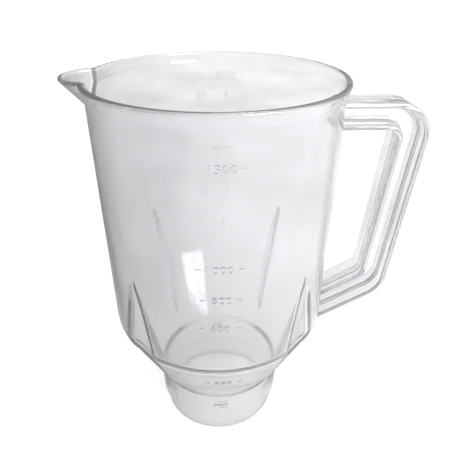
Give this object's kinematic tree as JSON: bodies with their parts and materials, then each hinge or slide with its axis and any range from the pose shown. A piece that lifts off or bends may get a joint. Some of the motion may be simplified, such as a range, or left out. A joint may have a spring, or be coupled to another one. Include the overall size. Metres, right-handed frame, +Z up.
{
  "type": "blender jar",
  "caption": "Clear one-piece blender jar with a pouring lip, an I-section side handle, four pressed-in flutes and an open collar for a blade unit.",
  "frame": {"origin": "centre of the open bore at the collar foot, on the jar axis", "axes": "+Z up along the jar axis towards the rim, +X towards the handle, -X towards the pouring lip"},
  "size_m": [0.1825, 0.13, 0.21],
  "materials": {
    "jar": "clear gloss"
  },
  "bodies": {
    "root": {"jar": "jar"}
  },
  "joints": []
}
